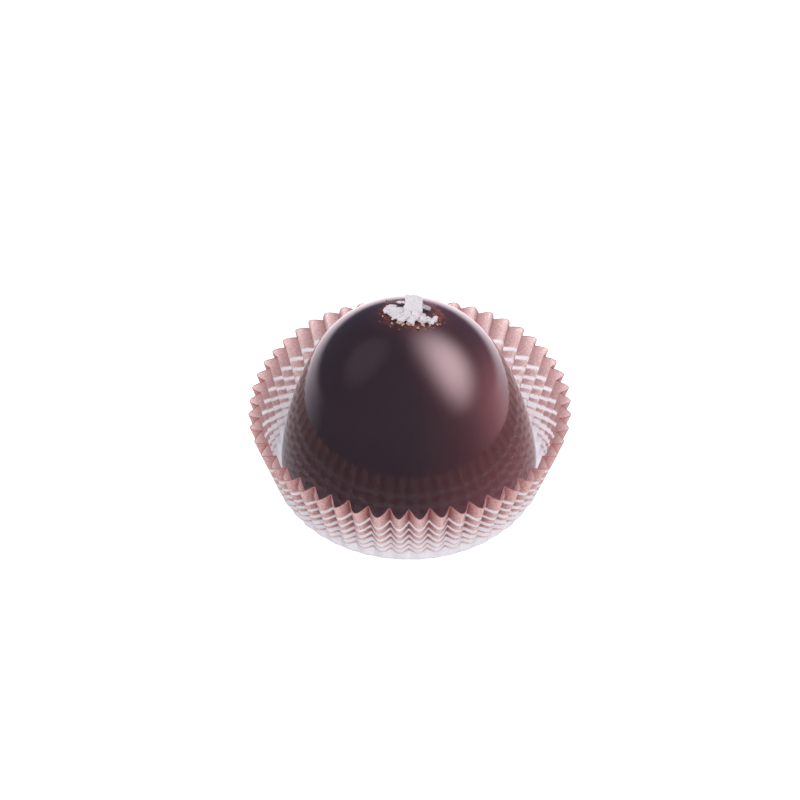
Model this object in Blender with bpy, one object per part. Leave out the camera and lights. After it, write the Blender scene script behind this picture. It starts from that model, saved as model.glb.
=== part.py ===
"""A dark chocolate truffle, topped with a pinch of salt flakes, in its fluted paper case.

Metres, +Z up. The origin is the middle of the case's flat base, on the surface that it rests on.
The three pieces are the case, the truffle that sits in it and the salt on the truffle's top.
"""

import math

import bmesh
import bpy
from mathutils import Matrix, Vector

# The paper case
RIM_RADIUS = 0.0200
CASE_HEIGHT = 0.01185
BASE_RADIUS = 0.01675  # where the slope of the outer folds would meet the base plane
CORNER_RADIUS = 0.0030  # between the flat base and the wall
FLUTES = 50
RIM_DIP = 0.00025  # the rim is lower at the outer folds, which lean out further
PAPER = 0.0003
CORNER_STEPS = 3
WALL_STEPS = 3
FOLD_SHAPE = ((0.00, 1.00), (0.28, 0.30), (0.50, 0.00), (0.72, 0.30))  # (place in a flute, share of depth)

# The truffle: a round cap on a long flank, over a flat underside with a rounded edge
GAP = 0.0003  # kept between two pieces that touch
TRUFFLE_TOP = 0.0245
CAP_RADIUS = 0.0130
CAP_ANGLE = math.radians(63)  # from the axis to where the cap meets the flank
FLANK_RADIUS = 0.0470
LOWER_EDGE_RADIUS = 0.0022
CAP_STEPS = 8
FLANK_STEPS = 6
LOWER_EDGE_STEPS = 3
TURN_STEPS = 64

# The salt: a low heap a little behind the top, with one flake that leans back out of it
SALT_CENTRE = Vector((0.0001, 0.0013))
SALT_RADII = Vector((0.0031, 0.0026))
SALT_HEIGHT = 0.0006
SALT_UNEVEN = 0.16  # share of the outline's radius
SALT_RINGS = 3
SALT_SPOKES = 18
FLAKE_SIZE = Vector((0.0018, 0.0004, 0.0026))
FLAKE_FOOT = Vector((0.0004, 0.0003))
FLAKE_LEAN = math.radians(50)  # back from upright
FLAKE_SUNK = 0.0005

# Colours as (red, green, blue), linear
CHOCOLATE_COLOUR = (0.035, 0.018, 0.017)
PAPER_COLOUR = (0.62, 0.40, 0.40)
SALT_COLOUR = (0.80, 0.76, 0.78)


def clear_scene():
    for obj in list(bpy.data.objects):
        bpy.data.objects.remove(obj, do_unlink=True)


def material(name, colour, roughness):
    made = bpy.data.materials.new(name)
    made.use_nodes = True
    shader = made.node_tree.nodes["Principled BSDF"]
    shader.inputs["Base Color"].default_value = (*colour, 1.0)
    shader.inputs["Roughness"].default_value = roughness
    shader.inputs["Metallic"].default_value = 0.0
    return made


def add_object(name, mesh_in_progress, finish):
    bmesh.ops.recalc_face_normals(mesh_in_progress, faces=mesh_in_progress.faces)
    mesh = bpy.data.meshes.new(name)
    mesh_in_progress.to_mesh(mesh)
    mesh_in_progress.free()
    mesh.materials.append(finish)
    obj = bpy.data.objects.new(name, mesh)
    bpy.context.scene.collection.objects.link(obj)
    return obj


def arc(centre, radius, start, end, steps):
    """Points (r, z) along an arc, both ends included, with angles taken from +Z towards +R."""
    angles = [start + (end - start) * i / steps for i in range(steps + 1)]
    return [(centre[0] + radius * math.sin(a), centre[1] + radius * math.cos(a)) for a in angles]


def loft(rings):
    """Skin a list of rings of equal length, with one face over each end."""
    bm = bmesh.new()
    rows = [[bm.verts.new(point) for point in ring] for ring in rings]
    count = len(rows[0])
    for lower, upper in zip(rows, rows[1:]):
        for i in range(count):
            j = (i + 1) % count
            bm.faces.new((lower[i], lower[j], upper[j], upper[i]))
    bm.faces.new(reversed(rows[0]))
    bm.faces.new(rows[-1])
    return bm


def case_profile():
    """Points (r, z) up the outer folds, from the edge of the flat base to the rim."""
    flare = math.atan2(RIM_RADIUS - BASE_RADIUS, CASE_HEIGHT)
    # The corner's centre is one corner radius from the base plane and from the wall's line.
    centre_r = BASE_RADIUS - (CORNER_RADIUS - CORNER_RADIUS * math.sin(flare)) / math.cos(flare)
    corner = arc((centre_r, CORNER_RADIUS), CORNER_RADIUS, math.pi, math.pi / 2 + flare, CORNER_STEPS)
    start = Vector(corner[-1])
    rim = Vector((RIM_RADIUS, CASE_HEIGHT))
    wall = [tuple(start.lerp(rim, i / WALL_STEPS)) for i in range(1, WALL_STEPS + 1)]
    return corner + wall


def sheet_radii(profile):
    """The radius of each profile point in the flat disc of paper that the case was pressed from."""
    radii = [profile[0][0]]
    for here, there in zip(profile, profile[1:]):
        radii.append(radii[-1] + math.dist(here, there))
    return radii


def flute_depth(radius, sheet_radius):
    """How deep the folds are where a circle of the sheet is gathered to a smaller one."""
    half_pitch = math.pi * radius / FLUTES
    spare = max((sheet_radius / radius) ** 2 - 1, 0)
    return half_pitch * math.sqrt(spare)


def inner_profile(profile):
    """The same profile, one thickness of paper further in."""
    moved = []
    for i, point in enumerate(profile):
        before = Vector(profile[max(i - 1, 0)])
        after = Vector(profile[min(i + 1, len(profile) - 1)])
        along = (after - before).normalized()
        if i == 0:
            along = Vector((1, 0))
        moved.append((point[0] - PAPER * along.y, point[1] + PAPER * along.x))
    moved[-1] = (profile[-1][0] - PAPER, profile[-1][1])
    return moved


def fluted_ring(radius, height, depth, dip):
    """One turn round the case. An inner fold is at the front, towards -Y."""
    ring = []
    for flute in range(FLUTES):
        for place, share in FOLD_SHAPE:
            angle = 2 * math.pi * (flute + place) / FLUTES - math.pi / 2
            r = radius - depth * share
            ring.append((r * math.cos(angle), r * math.sin(angle), height - dip * (1 - share)))
    return ring


def make_paper_case(finish):
    outer = case_profile()
    sheet = sheet_radii(outer)
    inner = inner_profile(outer)
    depths = [flute_depth(point[0], radius) for point, radius in zip(outer, sheet)]
    dips = [RIM_DIP * (depth / depths[-1]) ** 2 for depth in depths]
    outside = [fluted_ring(*point, depth, dip) for point, depth, dip in zip(outer, depths, dips)]
    inside = [fluted_ring(*point, depth, dip) for point, depth, dip in zip(inner, depths, dips)]
    return add_object("paper_case", loft(outside + inside[::-1]), finish)


def truffle_profile():
    """Points (r, z) from the top of the dome down to the edge of the flat underside."""
    cap_centre = Vector((0, TRUFFLE_TOP - CAP_RADIUS))
    cap = arc(cap_centre, CAP_RADIUS, 0, CAP_ANGLE, CAP_STEPS)
    towards_join = Vector((math.sin(CAP_ANGLE), math.cos(CAP_ANGLE)))
    flank_centre = Vector(cap[-1]) - FLANK_RADIUS * towards_join
    # The lower edge's arc touches the underside and the flank.
    edge_z = PAPER + GAP + LOWER_EDGE_RADIUS
    rise = edge_z - flank_centre.y
    reach = math.sqrt((FLANK_RADIUS - LOWER_EDGE_RADIUS) ** 2 - rise**2)
    edge_centre = Vector((flank_centre.x + reach, edge_z))
    flank_end = math.atan2(reach, rise)
    flank = arc(flank_centre, FLANK_RADIUS, CAP_ANGLE, flank_end, FLANK_STEPS)
    edge = arc(edge_centre, LOWER_EDGE_RADIUS, flank_end, math.pi, LOWER_EDGE_STEPS)
    return cap + flank[1:] + edge[1:]


def make_truffle(finish):
    bm = bmesh.new()
    points = [bm.verts.new((r, 0, z)) for r, z in truffle_profile()]
    for here, there in zip(points, points[1:]):
        bm.edges.new((here, there))
    bmesh.ops.spin(
        bm,
        geom=bm.verts[:] + bm.edges[:],
        cent=(0, 0, 0),
        axis=(0, 0, 1),
        angle=2 * math.pi,
        steps=TURN_STEPS,
        use_merge=True,
    )
    bmesh.ops.remove_doubles(bm, verts=bm.verts, dist=1e-6)
    underside = [edge for edge in bm.edges if edge.is_boundary]
    bmesh.ops.contextual_create(bm, geom=underside)
    truffle = add_object("truffle", bm, finish)
    truffle.data.shade_smooth()
    truffle.data.set_sharp_from_angle(angle=math.radians(50))
    return truffle


def dome_height(x, y):
    """Height of the truffle's surface over a place near its top."""
    return TRUFFLE_TOP - CAP_RADIUS + math.sqrt(CAP_RADIUS**2 - x**2 - y**2)


def salt_ring(share, height):
    """One turn round the heap, at a share of the way out to its uneven outline."""
    ring = []
    for spoke in range(SALT_SPOKES):
        angle = 2 * math.pi * spoke / SALT_SPOKES
        wobble = 1 + SALT_UNEVEN * (0.6 * math.sin(3 * angle + 0.7) + 0.4 * math.sin(7 * angle + 2.1))
        x = SALT_CENTRE.x + SALT_RADII.x * share * wobble * math.cos(angle)
        y = SALT_CENTRE.y + SALT_RADII.y * share * wobble * math.sin(angle)
        lump = 1 + 0.3 * math.sin(5 * angle + 4 * share)
        ring.append((x, y, dome_height(x, y) + GAP + height * lump))
    return ring


def add_flake(finish):
    """The flake that stands out of the heap, as the shape that is joined to it."""
    bm = bmesh.new()
    bmesh.ops.create_cube(bm, size=1)
    bmesh.ops.scale(bm, vec=FLAKE_SIZE, verts=bm.verts)
    bmesh.ops.translate(bm, vec=(0, 0, FLAKE_SIZE.z / 2 - FLAKE_SUNK), verts=bm.verts)
    bmesh.ops.rotate(bm, matrix=Matrix.Rotation(-FLAKE_LEAN, 3, "X"), verts=bm.verts)
    foot = Vector((*FLAKE_FOOT, dome_height(*FLAKE_FOOT) + GAP + SALT_HEIGHT))
    bmesh.ops.translate(bm, vec=foot, verts=bm.verts)
    flake = add_object("flake_shape", bm, finish)
    flake.hide_render = True
    flake.display_type = "WIRE"
    return flake


def make_salt(finish):
    shares = [(i + 1) / SALT_RINGS for i in range(SALT_RINGS)]
    top = [salt_ring(share, SALT_HEIGHT * (1 - 0.7 * share**3)) for share in shares]
    under = [salt_ring(share, 0) for share in shares]
    heap = loft(top + under[::-1])
    ends = [face for face in heap.faces if len(face.verts) == SALT_SPOKES]
    bmesh.ops.poke(heap, faces=ends)
    salt = add_object("salt_flakes", heap, finish)
    join = salt.modifiers.new("leaning flake", "BOOLEAN")
    join.operation = "UNION"
    join.solver = "EXACT"
    join.object = add_flake(finish)
    return salt


clear_scene()
make_paper_case(material("printed paper", PAPER_COLOUR, 0.75))
make_truffle(material("dark chocolate", CHOCOLATE_COLOUR, 0.15))
make_salt(material("salt", SALT_COLOUR, 0.45))
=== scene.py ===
# %% [markdown]
# # A chocolate truffle in a fluted paper case
#
# We build three things: the fluted paper case, the tall glossy truffle that sits in it, and the pinch of
# flaky salt on its top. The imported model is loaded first. It is the frame: it says where each piece sits and
# how big it is, and every piece below stands in for one of its nodes.

import math

import bpy
import numpy as np
from mathutils import Matrix, Vector, noise


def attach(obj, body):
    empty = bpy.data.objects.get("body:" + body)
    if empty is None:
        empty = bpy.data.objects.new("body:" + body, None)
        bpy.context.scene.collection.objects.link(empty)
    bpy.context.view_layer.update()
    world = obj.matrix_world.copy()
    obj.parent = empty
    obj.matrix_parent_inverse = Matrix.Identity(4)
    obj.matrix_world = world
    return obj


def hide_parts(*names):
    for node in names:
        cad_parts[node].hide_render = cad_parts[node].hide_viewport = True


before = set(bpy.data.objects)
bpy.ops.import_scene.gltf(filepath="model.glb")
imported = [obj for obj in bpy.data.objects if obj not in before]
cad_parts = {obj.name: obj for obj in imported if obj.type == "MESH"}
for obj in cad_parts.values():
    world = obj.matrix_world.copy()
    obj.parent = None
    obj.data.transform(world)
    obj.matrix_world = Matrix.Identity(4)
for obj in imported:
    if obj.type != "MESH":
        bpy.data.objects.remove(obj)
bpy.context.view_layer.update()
MM = 0.001
print("nodes:", sorted(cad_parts))

# %% [markdown]
# ## Small helpers
#
# Operators act on whatever is selected, and the loaded nodes come in selected. So before each new piece we
# deselect everything. The other helpers read and write all the points of a mesh at once, which is much faster
# than a loop over single points. They also join copies, give a surface its thickness, and leave a finished
# object at the origin with its place in its mesh.


# %% Helpers for objects
def deselect_all():
    bpy.ops.object.select_all(action="DESELECT")


def select_only(*objects):
    """Selects these objects and nothing else. The first one becomes the active one."""
    deselect_all()
    for obj in objects:
        obj.select_set(True)
    bpy.context.view_layer.objects.active = objects[0]


def read_points(mesh):
    flat = np.empty(len(mesh.vertices) * 3)
    mesh.vertices.foreach_get("co", flat)
    return flat.reshape(-1, 3)


def write_points(mesh, points):
    mesh.vertices.foreach_set("co", np.asarray(points, dtype=np.float32).ravel())
    mesh.update()


def join_copies(copies):
    """Puts each copy's place in its mesh, and makes one object of them all."""
    select_only(*copies)
    bpy.ops.object.transform_apply(location=True, rotation=True, scale=True)
    bpy.ops.object.join()
    return bpy.context.object


def thicken(obj, thickness, offset):
    """Gives a surface its thickness: inwards at an offset of -1, and to both sides alike at 0."""
    select_only(obj)
    wall = obj.modifiers.new("thickness", "SOLIDIFY")
    wall.thickness = thickness
    wall.offset = offset
    bpy.ops.object.modifier_apply(modifier=wall.name)


def finish_piece(obj, name, finish, smooth_degrees):
    """Names a piece, puts its place in its mesh, smooths it up to an angle and gives it its finish."""
    select_only(obj)
    bpy.ops.object.transform_apply(location=True, rotation=True, scale=True)
    bpy.ops.object.shade_smooth_by_angle(angle=math.radians(smooth_degrees))
    obj.name = obj.data.name = name
    obj.data.materials.clear()
    obj.data.materials.append(finish)
    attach(obj, "root")
    obj.data.calc_loop_triangles()
    low = np.min(read_points(obj.data), axis=0) / MM
    high = np.max(read_points(obj.data), axis=0) / MM
    print(name, len(obj.data.loop_triangles), "triangles, from", low.round(2), "to", high.round(2), "mm")


# %% [markdown]
# ## Finishes
#
# A finish is a tree of shader nodes. One helper adds a node, sets its values and links its sockets. Colours
# are written as the hex values that a colour picker shows (sRGB), and one function turns them into the linear
# values that the renderer works in.


# %% Helpers for finishes
def linear(hex_colour):
    """An sRGB hex colour as linear red, green, blue and alpha."""
    parts = [int(hex_colour[i : i + 2], 16) / 255 for i in (1, 3, 5)]
    return (*[p / 12.92 if p <= 0.04045 else ((p + 0.055) / 1.055) ** 2.4 for p in parts], 1.0)


def add_node(tree, kind, values=(), links=(), **settings):
    """Adds one node: settings are its options, values its sockets' values, links what feeds its sockets."""
    node = tree.nodes.new(kind)
    for name, value in settings.items():
        setattr(node, name, value)
    for socket, value in dict(values).items():
        node.inputs[socket].default_value = value
    for socket, source in dict(links).items():
        tree.links.new(source, node.inputs[socket])
    return node


def new_finish(name):
    """A material with an empty tree and its output."""
    finish = bpy.data.materials.new(name)
    finish.use_nodes = True
    finish.node_tree.nodes.clear()
    output = finish.node_tree.nodes.new("ShaderNodeOutputMaterial")
    return finish, finish.node_tree, output


# %% [markdown]
# ## The paper: greaseproof paper, printed, then pressed
#
# A truffle case starts as a flat disc of thin greaseproof paper, printed with a wide rose band round its edge
# and thinner and thinner rings inside it. Only then is it pressed between fluted dies. So the print follows
# the flat disc and not the finished shape: a ring of the disc becomes a zigzag round the flutes. We keep each
# point's place on the flat disc in a UV map called flat_disc, and draw the rings from the distance to the
# disc's middle. Greaseproof paper is matt, and so thin that light comes through it.

# %% The print
DISC_SPAN = 60.0  # mm across the UV square
DISC_EDGE = 28.37  # mm, the disc's radius
PRINT_DEPTH = 10.0  # mm from the edge, which the print stays within
# The white rings between the printed ones. Each: how far its middle is from the edge and half its width, in
# mm, and how much ink the printed ring after it has
WHITE_RINGS = ((3.14, 0.29, 1.0), (4.77, 0.26, 1.0), (6.23, 0.33, 1.0), (7.55, 0.42, 0.9), (8.65, 0.37, 0.7))
PLAIN_FROM = 9.36  # mm from the edge
OFF_CENTRE = (0.0, -0.31, 0.0)  # mm, how far the print has slipped on the disc
RING_BLURS = (0.05, 0.10)  # mm, half the width of a ring's soft edge, on the outside and on the inside
FIBRES = 3.0  # in a mm
CREEP = 0.06  # mm, how far the ink creeps along the fibres
MOTTLES = 4.2  # in a mm
MOTTLE_RANGE = (0.39, 0.61)  # the noise from which and up to which the mottle goes
# The ink between the folds and the ink in them, each with the colour of its grain. The ink in the folds is
# darker: painted shade.
ROSE, ROSE_GRAIN = linear("#efdcda"), linear("#c9a5a4")
SHADED_FOLD_ROSE, SHADED_FOLD_ROSE_GRAIN = linear("#b07476"), linear("#8d5355")
SHOW_THROUGH = 0.78  # share of the ink's strength on the inside
# The bare paper, its grain, and the bare paper in the folds, which is darker there as painted shade
PAPER, PAPER_GRAIN, SHADED_FOLD_PAPER = linear("#eeecf0"), linear("#dedce1"), linear("#e5e0e4")
# The colour at the disc's edge, darker as painted shade on its thin rim face
SHADED_CUT_EDGE = linear("#8f6264")
CUT_EDGE_SHADE_FADE = (0.08, 0.02)  # mm from the edge, where the painted shade at the disc's edge starts and where it is full
PAPER_FOLD_SHADE_POWER = 2.0  # how closely the painted shade on the plain paper keeps to the bottom of a fold
PAPER_ROUGHNESS = 0.7
PAPER_SHINE = 0.2  # greaseproof paper is only a little shiny
PAPER_RELIEF = (0.3, 0.04 * MM)  # the strength and the height of the mottle's bumps
LIGHT_THROUGH = 0.6  # share of the light that goes through the paper


def ink_ramp(tree, distance, blur):
    """How much ink there is at a distance from the disc's edge, with white rings whose edges are blurred."""
    stops = [(0.0, 1.0)]
    before = 1.0
    for middle, half, after in WHITE_RINGS:
        stops += [(middle - half - blur, before), (middle - half + blur, 0.0)]
        stops += [(middle + half - blur, 0.0), (middle + half + blur, after)]
        before = after
    stops += [(PLAIN_FROM, before), (PLAIN_FROM + 2 * blur, 0.0)]
    share = add_node(tree, "ShaderNodeMath", {1: PRINT_DEPTH}, {0: distance}, operation="DIVIDE")
    ramp = add_node(tree, "ShaderNodeValToRGB", links={"Fac": share.outputs[0]})
    points = ramp.color_ramp.elements
    for i, (place, ink) in enumerate(stops):
        point = points[i] if i < 2 else points.new(place / PRINT_DEPTH)
        point.position = place / PRINT_DEPTH
        point.color = (ink, ink, ink, 1.0)
    return ramp


def paper_finish():
    finish, tree, output = new_finish("printed greaseproof paper")
    disc = add_node(tree, "ShaderNodeUVMap", uv_map="flat_disc")
    centred = add_node(
        tree, "ShaderNodeVectorMath", {1: (0.5, 0.5, 0)}, {0: disc.outputs["UV"]}, operation="SUBTRACT"
    )
    place = add_node(
        tree, "ShaderNodeVectorMath", {3: DISC_SPAN}, {0: centred.outputs["Vector"]}, operation="SCALE"
    )
    from_print = add_node(
        tree, "ShaderNodeVectorMath", {1: OFF_CENTRE}, {0: place.outputs["Vector"]}, operation="SUBTRACT"
    )
    radius = add_node(
        tree, "ShaderNodeVectorMath", links={0: from_print.outputs["Vector"]}, operation="LENGTH"
    )
    inward = add_node(
        tree, "ShaderNodeMath", {0: DISC_EDGE}, {1: radius.outputs["Value"]}, operation="SUBTRACT"
    )
    # The ink's edge is not quite sharp: it creeps a little along the fibres.
    fibres = add_node(
        tree,
        "ShaderNodeTexNoise",
        {"Scale": FIBRES, "Detail": 3.0, "Roughness": 0.6},
        {"Vector": place.outputs["Vector"]},
    )
    creep = add_node(
        tree,
        "ShaderNodeMapRange",
        {"From Min": 0.3, "From Max": 0.7, "To Min": -CREEP, "To Max": CREEP},
        {"Value": fibres.outputs["Fac"]},
    )
    crept = add_node(
        tree, "ShaderNodeMath", links={0: inward.outputs[0], 1: creep.outputs[0]}, operation="ADD"
    )
    # The ink is on the outside. It shows through on the inside, where it is weaker and its edges are softer.
    outside_ink, inside_ink = [ink_ramp(tree, crept.outputs[0], blur) for blur in RING_BLURS]
    weaker_ink = add_node(
        tree, "ShaderNodeMath", {1: SHOW_THROUGH}, {0: inside_ink.outputs[0]}, operation="MULTIPLY"
    )
    side = add_node(tree, "ShaderNodeAttribute", attribute_name="inside")
    ink = add_node(
        tree,
        "ShaderNodeMix",
        links={0: side.outputs["Fac"], 2: outside_ink.outputs[0], 3: weaker_ink.outputs[0]},
        data_type="FLOAT",
    )
    # The ink takes unevenly on the fibres, which makes it look mottled.
    mottle = add_node(
        tree,
        "ShaderNodeTexNoise",
        {"Scale": MOTTLES, "Detail": 3.0, "Roughness": 0.8},
        {"Vector": place.outputs["Vector"]},
    )
    mottle_range = add_node(
        tree,
        "ShaderNodeMapRange",
        {"From Min": MOTTLE_RANGE[0], "From Max": MOTTLE_RANGE[1]},
        {"Value": mottle.outputs["Fac"]},
    )
    light_rose = add_node(
        tree, "ShaderNodeMix", {6: ROSE, 7: ROSE_GRAIN}, {0: mottle_range.outputs[0]}, data_type="RGBA"
    )
    shaded_rose = add_node(
        tree,
        "ShaderNodeMix",
        {6: SHADED_FOLD_ROSE, 7: SHADED_FOLD_ROSE_GRAIN},
        {0: mottle_range.outputs[0]},
        data_type="RGBA",
    )
    # In the inner folds the ink is painted darker: painted shade in the folds.
    fold = add_node(tree, "ShaderNodeAttribute", attribute_name="fold")
    ink_colour = add_node(
        tree,
        "ShaderNodeMix",
        links={0: fold.outputs["Fac"], 6: light_rose.outputs[2], 7: shaded_rose.outputs[2]},
        data_type="RGBA",
    )
    plain_grain = add_node(
        tree, "ShaderNodeMix", {6: PAPER, 7: PAPER_GRAIN}, {0: mottle_range.outputs[0]}, data_type="RGBA"
    )
    # The plain paper is painted darker in the folds too: painted shade.
    deep_fold_shade = add_node(
        tree, "ShaderNodeMath", {1: PAPER_FOLD_SHADE_POWER}, {0: fold.outputs["Fac"]}, operation="POWER"
    )
    plain = add_node(
        tree,
        "ShaderNodeMix",
        {7: SHADED_FOLD_PAPER},
        {0: deep_fold_shade.outputs[0], 6: plain_grain.outputs[2]},
        data_type="RGBA",
    )
    printed = add_node(
        tree,
        "ShaderNodeMix",
        links={0: ink.outputs[0], 6: plain.outputs[2], 7: ink_colour.outputs[2]},
        data_type="RGBA",
    )
    # The thin rim face at the disc's edge catches the light from above, so the colour there is painted darker:
    # painted shade.
    from_middle = add_node(
        tree, "ShaderNodeVectorMath", links={0: place.outputs["Vector"]}, operation="LENGTH"
    )
    cut_edge_shade = add_node(
        tree,
        "ShaderNodeMapRange",
        {"From Min": DISC_EDGE - CUT_EDGE_SHADE_FADE[0], "From Max": DISC_EDGE - CUT_EDGE_SHADE_FADE[1]},
        {"Value": from_middle.outputs["Value"]},
    )
    colour = add_node(
        tree, "ShaderNodeMix", {7: SHADED_CUT_EDGE}, {0: cut_edge_shade.outputs[0], 6: printed.outputs[2]}, data_type="RGBA"
    )
    bump = add_node(
        tree,
        "ShaderNodeBump",
        {"Strength": PAPER_RELIEF[0], "Distance": PAPER_RELIEF[1]},
        {"Height": mottle.outputs["Fac"]},
    )
    sheet = add_node(
        tree,
        "ShaderNodeBsdfPrincipled",
        {"Roughness": PAPER_ROUGHNESS, "IOR": 1.45, "Specular IOR Level": PAPER_SHINE},
        {"Base Color": colour.outputs[2], "Normal": bump.outputs[0]},
    )
    glow = add_node(
        tree, "ShaderNodeBsdfTranslucent", links={"Color": colour.outputs[2], "Normal": bump.outputs[0]}
    )
    blend = add_node(
        tree, "ShaderNodeMixShader", {0: LIGHT_THROUGH}, {1: sheet.outputs[0], 2: glow.outputs[0]}
    )
    tree.links.new(blend.outputs[0], output.inputs["Surface"])
    return finish


paper = paper_finish()
print("finish:", paper.name)

# %% [markdown]
# ## The case: a cup first, then its folds
#
# The case could be cut from one flute, copied round in a circle. Then every flute would be the same, and real
# ones never are. So we make a smooth cup from a circle, extruded ring by ring up the wall. Then each point is
# moved in by its place in its own flute, and every flute gets its own width and depth.
#
# How deep are the folds? A ring of the disc keeps its length when it is pressed. The cup is smaller there
# than the disc was, so the spare length goes into the folds: none at the edge of the flat base, and most at
# the rim.

# %% Sizes of the case
TINY = 1e-7  # m, what counts as nothing
RIM_RADIUS = 20.0 * MM
CASE_HEIGHT = 11.85 * MM
BASE_RADIUS = 16.75 * MM  # where the slope of the outer folds would meet the base plane
CORNER_RADIUS = 3.0 * MM
FLUTES = 50
COLUMNS = 20  # points across one flute
CORNER_STEPS = 8
WALL_STEPS = 16
PAPER_THICKNESS = 0.05 * MM
RIM_DIP = 0.3 * MM  # the rim is lower at the outer folds, which lean out further

flare = math.atan2(RIM_RADIUS - BASE_RADIUS, CASE_HEIGHT)
flat_radius = BASE_RADIUS - (CORNER_RADIUS - CORNER_RADIUS * math.sin(flare)) / math.cos(flare)
corner_turn = math.pi / 2 - flare
corner = [
    (flat_radius + CORNER_RADIUS * math.sin(a), CORNER_RADIUS * (1 - math.cos(a)))
    for a in [corner_turn * i / CORNER_STEPS for i in range(CORNER_STEPS + 1)]
]
wall_start, wall_end = Vector(corner[-1]), Vector((RIM_RADIUS, CASE_HEIGHT))
wall = [tuple(wall_start.lerp(wall_end, i / WALL_STEPS)) for i in range(1, WALL_STEPS + 1)]
case_profile = corner + wall
disc_radii = [case_profile[0][0]]
for here, there in zip(case_profile, case_profile[1:]):
    disc_radii.append(disc_radii[-1] + math.dist(here, there))
print("disc radius in mm:", round(disc_radii[-1] / MM, 2), "flat base radius:", round(flat_radius / MM, 2))

# %% The cup, ring by ring
deselect_all()
bpy.ops.mesh.primitive_circle_add(
    vertices=FLUTES * COLUMNS, radius=case_profile[0][0], fill_type="TRIFAN", enter_editmode=True
)
case = bpy.context.object
bpy.ops.mesh.select_mode(type="EDGE")
bpy.ops.mesh.select_all(action="DESELECT")
bpy.ops.mesh.select_non_manifold()
for (r0, z0), (r1, z1) in zip(case_profile, case_profile[1:]):
    bpy.ops.mesh.extrude_region_move(TRANSFORM_OT_translate={"value": (0, 0, z1 - z0)})
    bpy.ops.transform.resize(value=(r1 / r0, r1 / r0, 1), center_override=(0, 0, 0))
bpy.ops.mesh.select_all(action="SELECT")
bpy.ops.mesh.normals_make_consistent(inside=False)
bpy.ops.object.mode_set(mode="OBJECT")
if case.data.polygons[0].normal.z > 0:
    case.data.flip_normals()
cup = read_points(case.data)
print("cup:", len(cup), "points, height in mm", round(cup[:, 2].max() / MM, 2))

# %% Each point's place on the flat disc
cup_radius = np.hypot(cup[:, 0], cup[:, 1])
heights = [z for r, z in case_profile]
on_wall = cup[:, 2] > TINY
disc_radius = np.where(on_wall, np.interp(cup[:, 2], heights, disc_radii), cup_radius)
angle = np.arctan2(cup[:, 1], cup[:, 0])
disc_uv = 0.5 + (disc_radius / MM / DISC_SPAN)[:, None] * np.stack([np.cos(angle), np.sin(angle)], axis=1)
for layer in list(case.data.uv_layers):
    case.data.uv_layers.remove(layer)
uv_layer = case.data.uv_layers.new(name="flat_disc")
loop_points = np.empty(len(case.data.loops), dtype=np.int32)
case.data.loops.foreach_get("vertex_index", loop_points)
uv_layer.data.foreach_set("uv", disc_uv[loop_points].astype(np.float32).ravel())
print("disc radii in mm:", round(disc_radius.min() / MM, 2), "to", round(disc_radius.max() / MM, 2))

# %% Press the folds
rng = np.random.default_rng(11)
FOLD_STRAY = 0.035  # how far an inner fold strays along the rim, as a share of a flute
FOLD_DEPTH_SPREAD = 0.05
# A rounded fold takes up less paper than a sharp one of its depth, so the folds go deeper: this many times
# low down, and by this much less at the rim, where they are sharpest
DEEPER, LESS_AT_RIM = 1.38, 0.30
OUTER_ROUNDNESS = 0.6  # 0 is a sharp fold; 1 is a wave
INNER_ROUNDNESS = (0.26, 0.04)  # low down and at the rim
BULGES = (-0.06, 0.02)  # mm outwards, at the middle of a flute
RIM_LIFTS = (-0.06, 0.03)  # mm upwards, of each inner fold's tip
LIFT_FADE, PUSH_FADE = 6, 1.5  # how quickly a lift and a push die away below the rim
FOLD_SHADE_POWER = 0.8  # how closely the painted shade in the folds keeps to the bottom of a fold
# The rim isn't quite round. Each push: the direction that it's in and how far it spreads, in degrees, and mm
# outwards
RIM_PUSHES = ((50, 35, 0.6), (122, 18, 0.35), (172, 25, -0.35))
SMOOTH_TO, FOLDED_FROM = 15.8 * MM, 19.3 * MM  # radii on the disc, between which the folds start


def rounded(share, roundness):
    """A straight slope from 0 to 1 whose start is rounded."""
    return (np.sqrt(share**2 + roundness**2) - roundness) / (np.sqrt(1 + roundness**2) - roundness)


def smooth_step(value, start, end):
    share = ((value - start) / (end - start)).clip(0, 1)
    return share * share * (3 - 2 * share)


spare = np.sqrt(np.maximum((disc_radius / cup_radius.clip(TINY)) ** 2 - 1, 0))
depth = np.pi * cup_radius / FLUTES * np.where(on_wall, spare, 0)
depth_share = depth / depth.max()
depth *= (DEEPER - LESS_AT_RIM * depth_share) * smooth_step(disc_radius, SMOOTH_TO, FOLDED_FROM)

strays = rng.uniform(-FOLD_STRAY, FOLD_STRAY, FLUTES)
fold_depths = 1 + rng.uniform(-FOLD_DEPTH_SPREAD, FOLD_DEPTH_SPREAD, FLUTES)
bulges = rng.uniform(*BULGES, FLUTES) * MM
rim_lifts = rng.uniform(*RIM_LIFTS, FLUTES) * MM

flute_turn = ((angle + np.pi / 2) / (2 * np.pi) * FLUTES) % FLUTES
flute = np.floor(flute_turn).astype(int) % FLUTES
place = flute_turn - np.floor(flute_turn)
after = (flute + 1) % FLUTES
inner_roundness = INNER_ROUNDNESS[0] + (INNER_ROUNDNESS[1] - INNER_ROUNDNESS[0]) * depth_share
to_inner_fold = np.abs(2 * place - 1)
fold_share = 1 - rounded(1 - rounded(to_inner_fold, OUTER_ROUNDNESS), inner_roundness)
stray = strays[flute] * (1 - place) + strays[after] * place
fold_depth = fold_depths[flute] * (1 - place) + fold_depths[after] * place
bulge = bulges[flute] * np.sin(np.pi * place)
rim_lift = rim_lifts[flute] * (1 - place) + rim_lifts[after] * place
rim_lift *= (disc_radius / disc_radius.max()) ** LIFT_FADE

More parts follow.
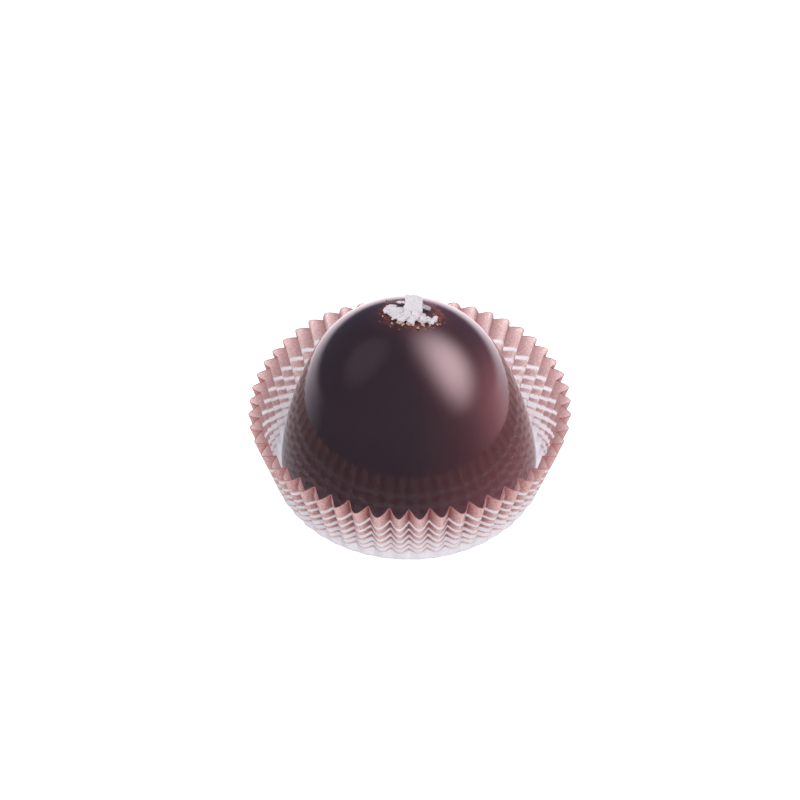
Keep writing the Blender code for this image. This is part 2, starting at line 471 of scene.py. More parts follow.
push = np.zeros(len(cup))
for direction, spread, out in RIM_PUSHES:
    off = (np.degrees(angle) - direction + 180) % 360 - 180
    push += out * MM * np.exp(-((off / spread) ** 2))
pressed_radius = cup_radius - depth * fold_share * fold_depth + bulge * depth_share
pressed_radius += push * (cup[:, 2] / CASE_HEIGHT).clip(0, 1) ** PUSH_FADE
pressed_angle = angle + stray * 2 * np.pi / FLUTES * depth_share
pressed = np.stack(
    [
        pressed_radius * np.cos(pressed_angle),
        pressed_radius * np.sin(pressed_angle),
        cup[:, 2] - RIM_DIP * depth_share**2 * (1 - fold_share) + np.where(on_wall, rim_lift, 0),
    ],
    axis=1,
)
write_points(case.data, pressed)
print("folds in mm:", round(depth.max() / MM, 2), "deep at the rim")

# %% The paper's thickness
thicken(case, PAPER_THICKNESS, -1)
# Solidify keeps the outside's points first and adds the inside's after them.
side = case.data.attributes.new("inside", "FLOAT", "POINT")
side.data.foreach_set("value", (np.arange(len(case.data.vertices)) >= len(cup)).astype(np.float32))
# How far into a fold a point is, which sets the painted shade in the folds: 1 at the bottom of an inner fold.
fold = case.data.attributes.new("fold", "FLOAT", "POINT")
painted_fold_shade = fold_share**FOLD_SHADE_POWER * np.sqrt(depth_share)
fold.data.foreach_set("value", np.tile(painted_fold_shade, 2).astype(np.float32))
finish_piece(case, "pressed_paper_case", paper, 42)
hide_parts("paper_case")

# %% [markdown]
# ## The chocolate: tempered dark chocolate, moulded
#
# A moulded shell of tempered dark chocolate sets against a polished mould, so it is smooth and glossy, nearly
# black where it reflects a dark room, and warm red-brown where light reaches into it. It is never perfect:
# its surface swells a little, the salt has stained it, and low down the paper has dulled it. Low down its
# colour is also made lighter.

# %% The chocolate's finish
CHOCOLATE, CHOCOLATE_PATCH = linear("#3a2b31"), linear("#423137")
LOW_TONE = linear("#4e3e47")
REDDENED = linear("#5a3a3f")
COCOA_STAIN = linear("#78443c")
# Patterns, in patches to the metre: one patch is 4.5, 0.7 and 1.1 mm
PATCHES_PER_METRE, RAGS_PER_METRE, SWELLS_PER_METRE = 220.0, 1400.0, 900.0
LOW_TONE_SHARE = 0.9  # share of the lighter colour at its strongest
LOW_TONE_HEIGHTS = (8 * MM, 13 * MM)  # where the lighter colour starts to thin and where there is none
STAIN_MIDDLE = (0.25 * MM, 2.0 * MM, 24.0 * MM)
STAIN_SQUASH = (0.78, 0.85, 1.0)  # the stain is broader than it is long
STAIN_RAGGED = 0.6 * MM  # how far its edge strays
# Distances from the stain's middle, between which each goes from nothing to full or back
STAIN_FADE = (2.4 * MM, 3.4 * MM)
HALO_FADE = (2.8 * MM, 5.0 * MM)
# Inside this span the stain and the reddening are left out: painted shade under the salt
SALT_SHADE_FADE = (2.0 * MM, 2.6 * MM)
HALO = 0.7  # share of the halo's colour at its strongest
# Roughness: low down where the paper rubs, higher up, and under the stain
RUBBED, POLISHED, STAINED = 0.13, 0.1, 0.45
RUB_HEIGHTS = (10 * MM, 15 * MM)
SHELL_RELIEF = (0.04, 0.1 * MM)  # the strength and the height of the small swells


def chocolate_finish():
    finish, tree, output = new_finish("tempered dark chocolate")
    coords = add_node(tree, "ShaderNodeTexCoord")
    patches = add_node(
        tree,
        "ShaderNodeTexNoise",
        {"Scale": PATCHES_PER_METRE, "Detail": 4.0, "Roughness": 0.55},
        {"Vector": coords.outputs["Object"]},
    )
    base = add_node(
        tree,
        "ShaderNodeMix",
        {6: CHOCOLATE, 7: CHOCOLATE_PATCH},
        {0: patches.outputs["Fac"]},
        data_type="RGBA",
    )
    # Low down, its colour is made lighter.
    split = add_node(tree, "ShaderNodeSeparateXYZ", links={"Vector": coords.outputs["Object"]})
    low_tone = add_node(
        tree,
        "ShaderNodeMapRange",
        {"From Min": LOW_TONE_HEIGHTS[0], "From Max": LOW_TONE_HEIGHTS[1], "To Min": LOW_TONE_SHARE, "To Max": 0.0},
        {"Value": split.outputs["Z"]},
        interpolation_type="SMOOTHSTEP",
    )
    low_toned = add_node(
        tree, "ShaderNodeMix", {7: LOW_TONE}, {0: low_tone.outputs[0], 6: base.outputs[2]}, data_type="RGBA"
    )
    # The stain round the salt: a distance from its middle, made uneven by noise.
    from_salt = add_node(
        tree, "ShaderNodeVectorMath", {1: STAIN_MIDDLE}, {0: coords.outputs["Object"]}, operation="SUBTRACT"
    )
    squashed = add_node(
        tree, "ShaderNodeVectorMath", {1: STAIN_SQUASH}, {0: from_salt.outputs[0]}, operation="MULTIPLY"
    )
    distance = add_node(tree, "ShaderNodeVectorMath", links={0: squashed.outputs[0]}, operation="LENGTH")
    rags = add_node(
        tree,
        "ShaderNodeTexNoise",
        {"Scale": RAGS_PER_METRE, "Detail": 3.0, "Roughness": 0.65},
        {"Vector": coords.outputs["Object"]},
    )
    stray = add_node(
        tree,
        "ShaderNodeMapRange",
        {"From Min": 0.3, "From Max": 0.7, "To Min": -STAIN_RAGGED, "To Max": STAIN_RAGGED},
        {"Value": rags.outputs["Fac"]},
    )
    ragged_distance = add_node(
        tree, "ShaderNodeMath", links={0: distance.outputs["Value"], 1: stray.outputs[0]}, operation="ADD"
    )
    stain = add_node(
        tree,
        "ShaderNodeMapRange",
        {"From Min": STAIN_FADE[0], "From Max": STAIN_FADE[1], "To Min": 1.0, "To Max": 0.0},
        {"Value": ragged_distance.outputs[0]},
        interpolation_type="SMOOTHSTEP",
    )
    # Round the stain the chocolate is reddened faintly. Under the middle of the salt the stain and the
    # reddening are left out, so that the chocolate stays dark there: painted shade under the salt.
    halo = add_node(
        tree,
        "ShaderNodeMapRange",
        {"From Min": HALO_FADE[0], "From Max": HALO_FADE[1], "To Min": HALO, "To Max": 0.0},
        {"Value": distance.outputs["Value"]},
        interpolation_type="SMOOTHSTEP",
    )
    clear_of_salt_shade = add_node(
        tree,
        "ShaderNodeMapRange",
        {"From Min": SALT_SHADE_FADE[0], "From Max": SALT_SHADE_FADE[1]},
        {"Value": ragged_distance.outputs[0]},
        interpolation_type="SMOOTHSTEP",
    )
    halo_ring, stain_ring = [
        add_node(tree, "ShaderNodeMath", links={0: disc.outputs[0], 1: clear_of_salt_shade.outputs[0]}, operation="MULTIPLY")
        for disc in (halo, stain)
    ]
    reddened = add_node(
        tree, "ShaderNodeMix", {7: REDDENED}, {0: halo_ring.outputs[0], 6: low_toned.outputs[2]}, data_type="RGBA"
    )
    colour = add_node(
        tree,
        "ShaderNodeMix",
        {7: COCOA_STAIN},
        {0: stain_ring.outputs[0], 6: reddened.outputs[2]},
        data_type="RGBA",
    )
    # The gloss is dulled under the stain, and low down, where the paper rubs.
    rubbed = add_node(
        tree,
        "ShaderNodeMapRange",
        {"From Min": RUB_HEIGHTS[0], "From Max": RUB_HEIGHTS[1], "To Min": RUBBED, "To Max": POLISHED},
        {"Value": split.outputs["Z"]},
        interpolation_type="SMOOTHSTEP",
    )
    gloss = add_node(
        tree, "ShaderNodeMix", {3: STAINED}, {0: stain.outputs[0], 2: rubbed.outputs[0]}, data_type="FLOAT"
    )
    swells = add_node(
        tree,
        "ShaderNodeTexNoise",
        {"Scale": SWELLS_PER_METRE, "Detail": 2.0},
        {"Vector": coords.outputs["Object"]},
    )
    bump = add_node(
        tree,
        "ShaderNodeBump",
        {"Strength": SHELL_RELIEF[0], "Distance": SHELL_RELIEF[1]},
        {"Height": swells.outputs["Fac"]},
    )
    shell = add_node(
        tree,
        "ShaderNodeBsdfPrincipled",
        {"IOR": 1.5},
        {"Base Color": colour.outputs[2], "Roughness": gloss.outputs[0], "Normal": bump.outputs[0]},
    )
    tree.links.new(shell.outputs[0], output.inputs["Surface"])
    return finish


chocolate = chocolate_finish()
print("finish:", chocolate.name)

# %% [markdown]
# ## The truffle: one outline, spun
#
# The mould is round, so the truffle is a spin: we draw half of its outline, a round cap that runs on into a
# long flank, over a flat underside with a rounded edge, and turn it about the axis.

# %% The truffle's outline
TRUFFLE_TOP = 24.5 * MM
CAP_RADIUS = 13.0 * MM
CAP_ANGLE = math.radians(63)
FLANK_RADIUS = 47.0 * MM
LOWER_EDGE_RADIUS = 2.2 * MM
FOOT = 0.6 * MM  # the height of its underside
CAP_STEPS, FLANK_STEPS, LOWER_EDGE_STEPS, TURN_STEPS = 44, 32, 12, 192
LEAN = 0.025  # it sits a little crooked in its case: how far it leans to the left for each bit of height
LEAN_FROM = 5.0 * MM  # the height that stays in place


def arc(centre, radius, start, end, steps):
    """Points (r, z) along an arc, both ends included, with angles taken from +Z towards +R."""
    angles = [start + (end - start) * i / steps for i in range(steps + 1)]
    return [(centre[0] + radius * math.sin(a), centre[1] + radius * math.cos(a)) for a in angles]


cap = arc((0, TRUFFLE_TOP - CAP_RADIUS), CAP_RADIUS, 0, CAP_ANGLE, CAP_STEPS)
flank_centre = Vector(cap[-1]) - FLANK_RADIUS * Vector((math.sin(CAP_ANGLE), math.cos(CAP_ANGLE)))
edge_z = FOOT + LOWER_EDGE_RADIUS
rise = edge_z - flank_centre.y
reach = math.sqrt((FLANK_RADIUS - LOWER_EDGE_RADIUS) ** 2 - rise**2)
flank_end = math.atan2(reach, rise)
flank = arc(flank_centre, FLANK_RADIUS, CAP_ANGLE, flank_end, FLANK_STEPS)
edge = arc((flank_centre.x + reach, edge_z), LOWER_EDGE_RADIUS, flank_end, math.pi, LOWER_EDGE_STEPS)
outline = cap + flank[1:] + edge[1:] + [(0, FOOT)]
print("truffle radius in mm:", round(max(r for r, z in outline) / MM, 2))

# %% Spin it
MERGE = 0.002 * MM  # points closer than this become one
outline_mesh = bpy.data.meshes.new("outline")
outline_mesh.from_pydata([(r, 0, z) for r, z in outline], [(i, i + 1) for i in range(len(outline) - 1)], [])
truffle = bpy.data.objects.new("truffle_shell", outline_mesh)
bpy.context.scene.collection.objects.link(truffle)
select_only(truffle)
bpy.ops.object.mode_set(mode="EDIT")
bpy.ops.mesh.select_all(action="SELECT")
bpy.ops.mesh.spin(steps=TURN_STEPS, angle=2 * math.pi, center=(0, 0, 0), axis=(0, 0, 1))
bpy.ops.mesh.select_all(action="SELECT")
bpy.ops.mesh.remove_doubles(threshold=MERGE)
bpy.ops.mesh.normals_make_consistent(inside=False)
bpy.ops.object.mode_set(mode="OBJECT")
print("spun shell:", len(truffle.data.vertices), "points")

# %% Swell it and lean it
SWELL = 0.03 * MM  # how far the surface swells
SWELL_SPAN = 7 * MM  # from one swelling to the next
shell_points = read_points(truffle.data)
for point in shell_points:
    swell = noise.noise(Vector(point) / SWELL_SPAN)
    point *= 1 + SWELL * swell / max(np.linalg.norm(point), 1 * MM)
shell_points[:, 0] -= LEAN * (shell_points[:, 2] - LEAN_FROM)
write_points(truffle.data, shell_points)
finish_piece(truffle, "moulded_truffle", chocolate, 45)
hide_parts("truffle")

# %% [markdown]
# ## The salt: flaky sea salt
#
# Flaky salt grows as thin hollow pyramids, which break into thin crinkled plates. A pinch of them sticks
# together in a dense heap, with one plate left standing, and small crumbs round it. The plates are frosted
# and let light through, so they look white, with grey only where they shade each other. One flat plate is
# modelled as a grid. Each copy gets its own ragged outline and its own crinkles before they are all given a
# thickness.

# %% The salt's finish
FROST_PER_METRE = 3500.0  # grains of frost: one is 0.3 mm
FROST_RELIEF = (0.5, 0.03 * MM)  # the strength and the height of the frost's bumps
SALT_ROUGHNESS = 0.35
LIGHT_THROUGH_SALT = 0.3  # share of the light that goes through a plate


def salt_finish(name, shade, bright):
    """Frosted salt whose grains go from a shade to a brighter one."""
    finish, tree, output = new_finish(name)
    coords = add_node(tree, "ShaderNodeTexCoord")
    frost = add_node(
        tree,
        "ShaderNodeTexNoise",
        {"Scale": FROST_PER_METRE, "Detail": 3.0, "Roughness": 0.6},
        {"Vector": coords.outputs["Object"]},
    )
    colour = add_node(
        tree,
        "ShaderNodeMix",
        {6: linear(shade), 7: linear(bright)},
        {0: frost.outputs["Fac"]},
        data_type="RGBA",
    )
    bump = add_node(
        tree,
        "ShaderNodeBump",
        {"Strength": FROST_RELIEF[0], "Distance": FROST_RELIEF[1]},
        {"Height": frost.outputs["Fac"]},
    )
    crystal = add_node(
        tree,
        "ShaderNodeBsdfPrincipled",
        {"Roughness": SALT_ROUGHNESS, "IOR": 1.54},
        {"Base Color": colour.outputs[2], "Normal": bump.outputs[0]},
    )
    through = add_node(tree, "ShaderNodeBsdfTranslucent", links={"Color": colour.outputs[2]})
    blend = add_node(
        tree, "ShaderNodeMixShader", {0: LIGHT_THROUGH_SALT}, {1: crystal.outputs[0], 2: through.outputs[0]}
    )
    tree.links.new(blend.outputs[0], output.inputs["Surface"])
    return finish


salt = salt_finish("flaky sea salt", "#e8e0e6", "#fbf9fc")
stained_salt = salt_finish("salt stained with cocoa", "#c2938d", "#ecd3ce")
print("finishes:", salt.name, "and", stained_salt.name)

# %% Where things stand on the dome
TOP_SHIFT = LEAN * (TRUFFLE_TOP - LEAN_FROM)  # how far the lean has moved the top


def dome_height(x, y):
    return TRUFFLE_TOP - CAP_RADIUS + math.sqrt(CAP_RADIUS**2 - (x + TOP_SHIFT) ** 2 - y**2)


def on_dome(x, y, lift, lean_x, lean_y, turn):
    """The turn and place of something on the dome at x, y from the axis, in mm, leaning by some degrees."""
    normal = Vector((x * MM + TOP_SHIFT, y * MM, CAP_RADIUS)).normalized()
    slope = Vector((0, 0, 1)).rotation_difference(normal).to_matrix().to_4x4()
    tilt = Matrix.Rotation(math.radians(turn), 4, "Z") @ Matrix.Rotation(math.radians(lean_x), 4, "X")
    tilt = tilt @ Matrix.Rotation(math.radians(lean_y), 4, "Y")
    spot = Vector((x * MM, y * MM, dome_height(x * MM, y * MM) + lift * MM))
    return Matrix.Translation(spot) @ slope @ tilt


print("top of the dome is", round(TOP_SHIFT / MM, 2), "mm to the left of the axis")

# %% One flat plate, and how a copy is crinkled
PLATE_GRID = 18  # squares each way
LARGE_RAG, SMALL_RAG = 0.30, 0.12  # how far the outline strays, as shares of half the plate's width
RAG_WAVES, FINER = 1.6, 3.1  # waves of the large rags, and how many times finer the small ones are
RAGS_APART = 3.1  # how far apart two plates read the noise, so that each gets its own rags
ROUND_RAG, SQUARE_CUT = 1.15, 0.6  # how ragged a round plate is, and by how much less a square one
TAPER = 0.12  # how much narrower a square plate is at its far end
# The lumps, folds and fine crinkles of a plate. Each: how many there are in a mm, how far apart two plates
# read the noise, and where they start
CRINKLES = ((1.1, 5.3, 0), (2.3, 9.7, 4), (5.5, 1.7, 0))
LUMP_HEIGHT, FOLD_HEIGHT, FINE_HEIGHT = 0.9, 1.0, 0.35  # next to each other

deselect_all()
bpy.ops.mesh.primitive_grid_add(x_subdivisions=PLATE_GRID, y_subdivisions=PLATE_GRID, size=2)
plate = bpy.context.object
plate_points = read_points(plate.data)
print("plate:", len(plate_points), "points")


def crinkled(seed, width, length, squareness, crinkle):
    """The plate's points with a ragged outline and crinkles. Width and length are in mm."""
    points = plate_points.copy()
    for i, (u, v, _) in enumerate(plate_points):
        # A square, squeezed towards a disc: the more so, the lower the squareness.
        disc_u, disc_v = u * math.sqrt(1 - v * v / 2), v * math.sqrt(1 - u * u / 2)
        u, v = disc_u + (u - disc_u) * squareness, disc_v + (v - disc_v) * squareness
        round_about = Vector((u * RAG_WAVES, v * RAG_WAVES, seed * RAGS_APART))
        rag = LARGE_RAG * noise.noise(round_about) + SMALL_RAG * noise.noise(round_about * FINER)
        ragged = 1 + (ROUND_RAG - SQUARE_CUT * squareness) * rag
        x, y = u * ragged * (1 - TAPER * squareness * v) * width / 2, v * ragged * length / 2
        lump, fold, fine = [
            noise.noise(Vector((x * waves, y * waves, seed * apart + start)))
            for waves, apart, start in CRINKLES
        ]
        height = LUMP_HEIGHT * lump + FOLD_HEIGHT * (0.5 - abs(fold)) + FINE_HEIGHT * fine
        points[i] = (x * MM, y * MM, crinkle * height * MM)
    return points


# %% Set the plates on the top
# The heap has lobes. Each patch: x and y of its middle, half its width and half its length in mm, how many
# plates and how big they are.
PATCHES = [
    (-2.20, 1.75, 0.55, 0.70, 7, 1.0),
    (-1.30, 0.80, 0.65, 0.85, 9, 1.0),
    (-0.50, 0.25, 0.90, 0.80, 9, 1.0),
    (0.60, 0.20, 0.85, 0.75, 9, 1.0),
    (1.95, -0.25, 0.90, 0.20, 8, 0.75),
    (0.35, 1.75, 0.65, 0.75, 10, 0.8),
]
# The plates that stand out. Each: x, y and lift of its middle in mm, its width and length in mm, its lean
# about X and about Y and its turn about Z in degrees, and how square it is.
PLATES = [
    (0.50, 1.35, 1.15, 2.15, 2.50, 45, 0, 0, 1.0),
    (3.05, -0.10, 0.60, 0.60, 0.85, 60, -15, -20, 0.4),
    (-1.00, 3.05, 0.45, 1.00, 0.35, 25, 0, 12, 0.2),
    (1.85, 2.25, 0.50, 1.70, 0.60, 38, 0, -34, 0.3),
    (1.55, 2.55, 0.35, 0.90, 0.50, 30, 0, -20, 0.3),
]
GOLDEN_TURN = math.radians(137.5)  # it spreads the plates of a patch evenly
HEAP_EDGE, HEAP_RISE, UNEVEN = 0.22, 0.38, 0.08  # mm: the lift at a patch's edge, how it rises, and its play
# The plates of a patch: their widths and lengths in mm, their leans about X and Y and their turns in degrees,
# and how square they are
WIDTHS, LENGTHS = (0.8, 1.25), (0.6, 1.0)
LEANS_X, LEANS_Y, TURNS = (-5, 30), (-16, 16), (-40, 40)
HEAP_SQUARENESS = 0.3
FLAT_CRINKLE, CRINKLE = 0.10, 0.17  # mm, of the one square plate and of all the others
PLATE_THICKNESS = 0.13 * MM

for middle_x, middle_y, half_width, half_length, count, big in PATCHES:
    for k in range(count):
        share, around = math.sqrt((k + 0.5) / count), k * GOLDEN_TURN
        x = middle_x + half_width * share * math.cos(around)
        y = middle_y + half_length * share * math.sin(around)
        width, length = big * rng.uniform(*WIDTHS), big * rng.uniform(*LENGTHS)
        lift = HEAP_EDGE + HEAP_RISE * big * (1 - share) + rng.uniform(0, UNEVEN)
        leans = rng.uniform(*LEANS_X), rng.uniform(*LEANS_Y), rng.uniform(*TURNS)
        PLATES.append((x, y, lift, width, length, *leans, HEAP_SQUARENESS))
flakes = []
for i, (x, y, lift, width, length, lean_x, lean_y, turn, squareness) in enumerate(PLATES):
    flake = plate.copy()
    flake.data = plate.data.copy()
    bpy.context.scene.collection.objects.link(flake)
    crinkle = FLAT_CRINKLE if squareness == 1 else CRINKLE
    write_points(flake.data, crinkled(i + 1, width, length, squareness, crinkle))
    flake.matrix_world = on_dome(x, y, lift, lean_x, lean_y, turn)
    flakes.append(flake)
bpy.data.objects.remove(plate)
salt_piece = join_copies(flakes)
thicken(salt_piece, PLATE_THICKNESS, 0)
finish_piece(salt_piece, "flaky_salt", salt, 24)
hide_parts("salt_flakes")

# %% Crumbs of salt
# Each crumb: x and y of its middle and its size, in mm. More are scattered thinly round the heap.
CRUMBS = [
    (-1.15, -0.60, 0.70),
    (-0.75, -0.95, 0.45),
    (-0.05, -0.95, 0.70),
    (0.45, -0.95, 0.60),
    (1.03, -1.47, 0.50),
    (-2.00, -0.70, 0.35),
    (-3.10, 0.87, 0.28),
    (3.27, -0.35, 0.38),
    (3.62, -0.20, 0.34),
    (2.45, -0.75, 0.34),
    (1.70, -0.90, 0.45),
    (-2.70, 5.20, 0.24),
    (2.90, 1.60, 0.22),
]
SCATTERED = 9
SCATTER_MIDDLE, SCATTER_REACH = (0.2, 1.0), (3.4, 2.6)  # mm
SCATTER_SPREAD = 0.12  # how far outwards they stray, as a share of that reach
SCATTER_SIZES = (0.07, 0.13)  # mm
JAGGED = 0.32  # how far a crumb's corners are moved, as a share of its size
FLATTER = Matrix.Diagonal((1.15, 0.85, 0.6, 1))
CRUMB_LIFT = 0.2  # how far its middle is above the chocolate, as a share of its size: it is pressed in
CRUMB_LEANS, CRUMB_TURN = (-20, 20), 70  # degrees

for _ in range(SCATTERED):
    around, out = rng.uniform(0, 2 * math.pi), 1 + abs(rng.normal(0, SCATTER_SPREAD))
    x = SCATTER_MIDDLE[0] + SCATTER_REACH[0] * out * math.cos(around)
    y = SCATTER_MIDDLE[1] + SCATTER_REACH[1] * out * math.sin(around)
    CRUMBS.append((x, y, rng.uniform(*SCATTER_SIZES)))
crumbs = []
for i, (x, y, size) in enumerate(CRUMBS):
    deselect_all()
    bpy.ops.mesh.primitive_ico_sphere_add(subdivisions=1, radius=size * MM / 2)
    crumb = bpy.context.object
    bpy.ops.object.mode_set(mode="EDIT")
    bpy.ops.mesh.select_all(action="SELECT")
    bpy.ops.transform.vertex_random(offset=size * MM * JAGGED, seed=i)
    bpy.ops.object.mode_set(mode="OBJECT")
    leans = rng.uniform(*CRUMB_LEANS), rng.uniform(*CRUMB_LEANS)
    crumb.matrix_world = on_dome(x, y, size * CRUMB_LIFT, *leans, CRUMB_TURN * i) @ FLATTER
    crumbs.append(crumb)
crumb_piece = join_copies(crumbs)
finish_piece(crumb_piece, "salt_crumbs", stained_salt, 10)
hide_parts("salt_flakes")

# %% [markdown]
# ## Light, floor and camera
#
# The truffle is shown on a white surface. A glossy dark thing shows little but what it reflects, so what it
# reflects is built apart from what lights the matt paper. The world holds a dim bluish room and a bright card
# under the truffle, which gives the bright line along the chocolate's edge. A long softbox at the right gives
# the oblong highlight, with a wider red glow round it. A weak card at the left gives a faint patch, and a
# warm one low at the right gives the red flank. Wide fills above light the paper and the salt.

# %% The floor
FLOOR_RADIUS = 1.5
FLOOR_DROP = 0.05 * MM  # below the case's base
FLOOR_GREY = (0.5, 0.5, 0.5, 1)
FLOOR_GLOW = 0.35  # the light that it gives. To the camera it shines at 1
deselect_all()
bpy.ops.mesh.primitive_circle_add(
    vertices=96, radius=FLOOR_RADIUS, fill_type="NGON", location=(0, 0, -FLOOR_DROP)
)
floor = bpy.context.object
floor.name = "floor"
floor_finish, tree, output = new_finish("white card")
card = add_node(tree, "ShaderNodeBsdfDiffuse", {"Color": FLOOR_GREY})
seen = add_node(tree, "ShaderNodeLightPath").outputs["Is Camera Ray"]
level = add_node(
    tree, "ShaderNodeMath", {1: 1 - FLOOR_GLOW, 2: FLOOR_GLOW}, {0: seen}, operation="MULTIPLY_ADD"
)
glow = add_node(tree, "ShaderNodeEmission", {"Color": (1, 1, 1, 1)}, {"Strength": level.outputs[0]})
both = add_node(tree, "ShaderNodeAddShader", links={0: card.outputs[0], 1: glow.outputs[0]})
tree.links.new(both.outputs[0], output.inputs["Surface"])
floor.data.materials.append(floor_finish)
floor.visible_glossy = False
print("floor:", FLOOR_RADIUS, "m in radius")

# %% The world
# What gloss reflects: a dim bluish room, and the bright card that the truffle stands on, which fades out
# towards the horizon and towards the front. Heights and directions are sines, from -1 to 1.
ROOM = (0.13, 0.15, 0.24, 1)
CARD = (0.97, 0.80, 0.845, 1)
CARD_LEVEL, CARD_RISE = 1.9, 0.2  # how bright it is, and how much brighter towards the right
CARD_TOP, CARD_FULL = -0.04, -0.26  # the heights at which it starts and at which it is full
CARD_BACK = 0.9  # how far towards the back it is full
# What matt surfaces see: a bright horizon that fades to a dimmer ceiling, and is brighter towards the right
HORIZON, CEILING = 1.25, 0.2
HORIZON_TO, CEILING_FROM = 0.05, 0.4
SIDE_RISE = 0.75

world = bpy.data.worlds.new("studio")
bpy.context.scene.world = world
world.use_nodes = True
world.cycles.sampling_method = "NONE"
tree = world.node_tree
tree.nodes.clear()
towards = add_node(tree, "ShaderNodeTexCoord").outputs["Generated"]
split = add_node(tree, "ShaderNodeSeparateXYZ", links={"Vector": towards})
card = add_node(
    tree,
    "ShaderNodeMapRange",
    {"From Min": CARD_TOP, "From Max": CARD_FULL},
    {"Value": split.outputs["Z"]},
    interpolation_type="SMOOTHSTEP",
)
level = add_node(
    tree, "ShaderNodeMath", {1: CARD_RISE, 2: CARD_LEVEL}, {0: split.outputs["X"]}, operation="MULTIPLY_ADD"
)
behind = add_node(
    tree, "ShaderNodeMapRange", {"From Min": 0.0, "From Max": CARD_BACK}, {"Value": split.outputs["Y"]}
)
for share in (behind, card):
    level = add_node(
        tree, "ShaderNodeMath", links={0: level.outputs[0], 1: share.outputs[0]}, operation="MULTIPLY"
    )
bright = add_node(tree, "ShaderNodeBackground", {"Color": CARD}, {"Strength": level.outputs[0]})
room = add_node(tree, "ShaderNodeBackground", {"Color": ROOM, "Strength": 1.0})
reflected = add_node(tree, "ShaderNodeAddShader", links={0: bright.outputs[0], 1: room.outputs[0]})
around = add_node(
    tree,
    "ShaderNodeMapRange",
    {"From Min": HORIZON_TO, "From Max": CEILING_FROM, "To Min": HORIZON, "To Max": CEILING},
    {"Value": split.outputs["Z"]},
)
sideways = add_node(
    tree, "ShaderNodeMath", {1: SIDE_RISE, 2: 1.0}, {0: split.outputs["X"]}, operation="MULTIPLY_ADD"
)
around = add_node(
    tree, "ShaderNodeMath", links={0: around.outputs[0], 1: sideways.outputs[0]}, operation="MULTIPLY"
)
ambient = add_node(tree, "ShaderNodeBackground", {"Color": (1, 1, 1, 1)}, {"Strength": around.outputs[0]})
backdrop = add_node(tree, "ShaderNodeBackground", {"Color": (1, 1, 1, 1), "Strength": 1.0})
path = add_node(tree, "ShaderNodeLightPath")
unseen = add_node(
    tree,
    "ShaderNodeMixShader",
    links={0: path.outputs["Is Glossy Ray"], 1: ambient.outputs[0], 2: reflected.outputs[0]},
)
seen = add_node(
    tree,
    "ShaderNodeMixShader",
    links={0: path.outputs["Is Camera Ray"], 1: unseen.outputs[0], 2: backdrop.outputs[0]},
)
add_node(tree, "ShaderNodeOutputWorld", links={"Surface": seen.outputs[0]})
print("world:", world.name)

# %% Lights
LIT_HEIGHT = 12 * MM  # the middle of the object, which the lamps aim at


def area_light(name, direction, distance, size, power, colour=(1, 1, 1), only=None, shaded_by=None):
    """A lamp panel that lights but isn't reflected. Its light and its shadows can be kept to some pieces."""
    data = bpy.data.lights.new(name, "AREA")
    data.shape = "RECTANGLE"
    data.size, data.size_y = size
    data.energy = power
    data.color = colour
    light = bpy.data.objects.new(name, data)
    bpy.context.scene.collection.objects.link(light)
    towards = Vector(direction).normalized()
    light.location = towards * distance + Vector((0, 0, LIT_HEIGHT))
    light.rotation_mode = "QUATERNION"
    light.rotation_quaternion = towards.to_track_quat("Z", "Y")
    light.visible_glossy = False
    light.visible_camera = False
    if only:
        lit = bpy.data.collections.new(name + "_lights")
        for piece in only:
            lit.objects.link(piece)
        light.light_linking.receiver_collection = lit
    if shaded_by:
        shading = bpy.data.collections.new(name + "_is_shaded_by")
        for piece in shaded_by:
            shading.objects.link(piece)
        light.light_linking.blocker_collection = shading
    print(name, power, "W")


# Each: its direction and its distance in metres, its size in metres and its power in watts
salt_pieces = [salt_piece, crumb_piece]
area_light("fill_above", (0, -0.15, 1), 0.6, (0.9, 0.9), 2.2)
area_light("case_fill", (0.06, -0.40, 0.83), 0.45, (0.6, 0.6), 7.9, only=[case])
area_light("case_top_fill", (-0.15, 0, 1), 0.45, (1.5, 1.5), 11.3, only=[case], shaded_by=[case])
area_light("salt_fill", (-0.8, -0.3, 0.7), 0.5, (0.12, 0.12), 1.5, only=salt_pieces)
# The red light that reaches into the chocolate on its right
RED = (1.0, 0.4, 0.32)
area_light("warm_side", (0.94, 0.0, -0.2), 0.4, (0.15, 0.2), 3.0, RED, only=[truffle], shaded_by=[truffle])

# %% Softboxes
SOFTBOX_DISTANCE = 0.5  # m
SOFTBOX_MARGIN = 4  # how many times as wide as its half width the panel is, so that the glow fades out on it
PINK, DEEP_RED, WARM_RED = (1, 0.75, 0.8, 1), (1, 0.15, 0.12, 1), (1, 0.36, 0.41, 1)


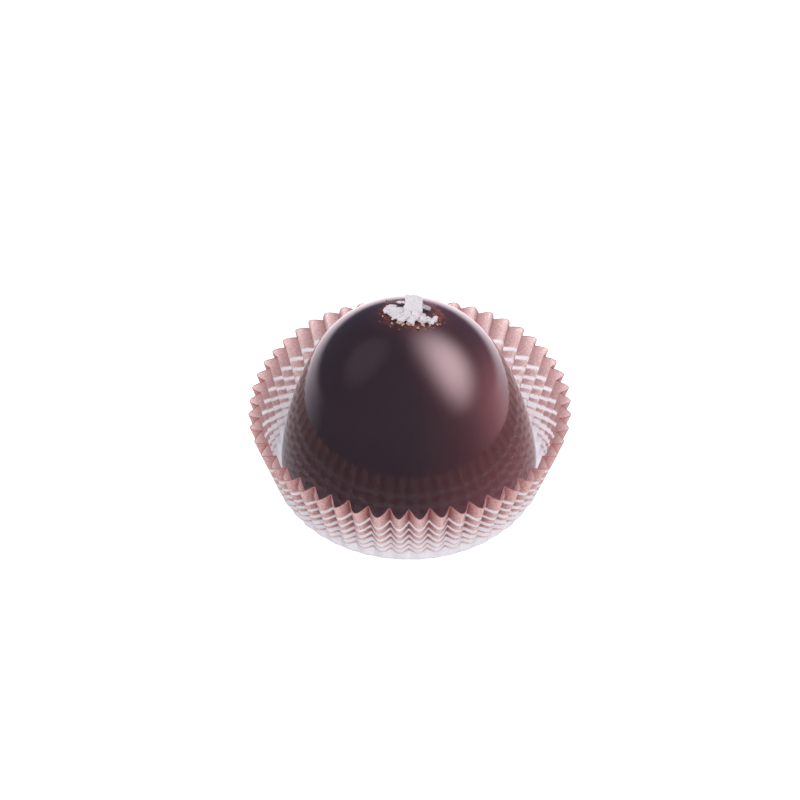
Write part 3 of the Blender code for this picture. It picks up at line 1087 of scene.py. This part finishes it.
def softbox(name, direction, turn, half_sizes, strength, power, colour):
    """A glowing panel for reflections only. It fades as a diffuser in front of a lamp does."""
    deselect_all()
    bpy.ops.mesh.primitive_plane_add(size=1)
    panel = bpy.context.object
    panel.name = name
    towards = Vector(direction).normalized()
    across = Vector((0, 0, 1)).cross(towards).normalized()
    facing = Matrix((across, towards.cross(across), towards)).transposed().to_4x4()
    facing = facing @ Matrix.Rotation(math.radians(turn), 4, "Z")
    size = [half * SOFTBOX_DISTANCE * SOFTBOX_MARGIN for half in half_sizes]
    place = Matrix.Translation(towards * SOFTBOX_DISTANCE)
    panel.matrix_world = place @ facing @ Matrix.Diagonal((*size, 1, 1))
    finish, tree, output = new_finish(name + "_glow")
    coords = add_node(tree, "ShaderNodeTexCoord")
    # The glow falls to 1/e at the half sizes: a high power gives a flat panel, and 2 a soft hump.
    out = add_node(tree, "ShaderNodeVectorMath", links={0: coords.outputs["Object"]}, operation="LENGTH")
    scaled = add_node(
        tree, "ShaderNodeMath", {1: SOFTBOX_MARGIN}, {0: out.outputs["Value"]}, operation="MULTIPLY"
    )
    powered = add_node(tree, "ShaderNodeMath", {1: power}, {0: scaled.outputs[0]}, operation="POWER")
    fade = add_node(tree, "ShaderNodeMath", {0: 1 / math.e}, {1: powered.outputs[0]}, operation="POWER")
    level = add_node(tree, "ShaderNodeMath", {1: strength}, {0: fade.outputs[0]}, operation="MULTIPLY")
    light = add_node(tree, "ShaderNodeEmission", {"Color": colour}, {"Strength": level.outputs[0]})
    clear = add_node(tree, "ShaderNodeBsdfTransparent")
    added = add_node(tree, "ShaderNodeAddShader", links={0: light.outputs[0], 1: clear.outputs[0]})
    tree.links.new(added.outputs[0], output.inputs["Surface"])
    panel.data.materials.append(finish)
    finish.cycles.emission_sampling = "NONE"
    panel.visible_camera = False
    panel.visible_diffuse = False
    panel.visible_transmission = False
    panel.visible_shadow = False
    print(name, "glows at", strength)


# Each: its direction, its turn in degrees, half its width and half its height as shares of its distance, how
# brightly it glows, the power of its fade and its colour. No two panels lie in one plane, because where they
# overlapped one would hide the other.
softbox("key_softbox", (0.672, 0.038, 0.738), 41.8, (0.64, 0.37), 10.6, 2.2, PINK)
softbox("key_glow", (0.63, -0.04, 0.74), 41.8, (0.85, 0.6), 0.6, 2.0, DEEP_RED)
softbox("left_card", (-0.624, 0.107, 0.774), 135.6, (0.487, 0.337), 0.4, 5.0, PINK)
softbox("warm_card", (0.98, 0.16, -0.08), 0, (0.5, 0.42), 1.6, 2.0, WARM_RED)

# %% Camera
CAMERA_TARGET = Vector((-1.07 * MM, 0, 11.68 * MM))
CAMERA_DISTANCE = 180 * MM
CAMERA_ELEVATION = math.radians(42.45)
CAMERA_LENS, CAMERA_SENSOR = 65.7, 36  # mm
NEAREST_SEEN = 5 * MM
camera_data = bpy.data.cameras.new("camera")
camera_data.lens = CAMERA_LENS
camera_data.sensor_width = CAMERA_SENSOR
camera_data.clip_start = NEAREST_SEEN
camera = bpy.data.objects.new("camera", camera_data)
bpy.context.scene.collection.objects.link(camera)
away = Vector((0, -math.cos(CAMERA_ELEVATION), math.sin(CAMERA_ELEVATION)))
camera.location = CAMERA_TARGET + away * CAMERA_DISTANCE
camera.rotation_mode = "QUATERNION"
camera.rotation_quaternion = away.to_track_quat("Z", "Y")
bpy.context.scene.camera = camera
bpy.context.scene.view_settings.view_transform = "Standard"
print("camera:", CAMERA_LENS, "mm lens,", round(CAMERA_DISTANCE / MM), "mm away")
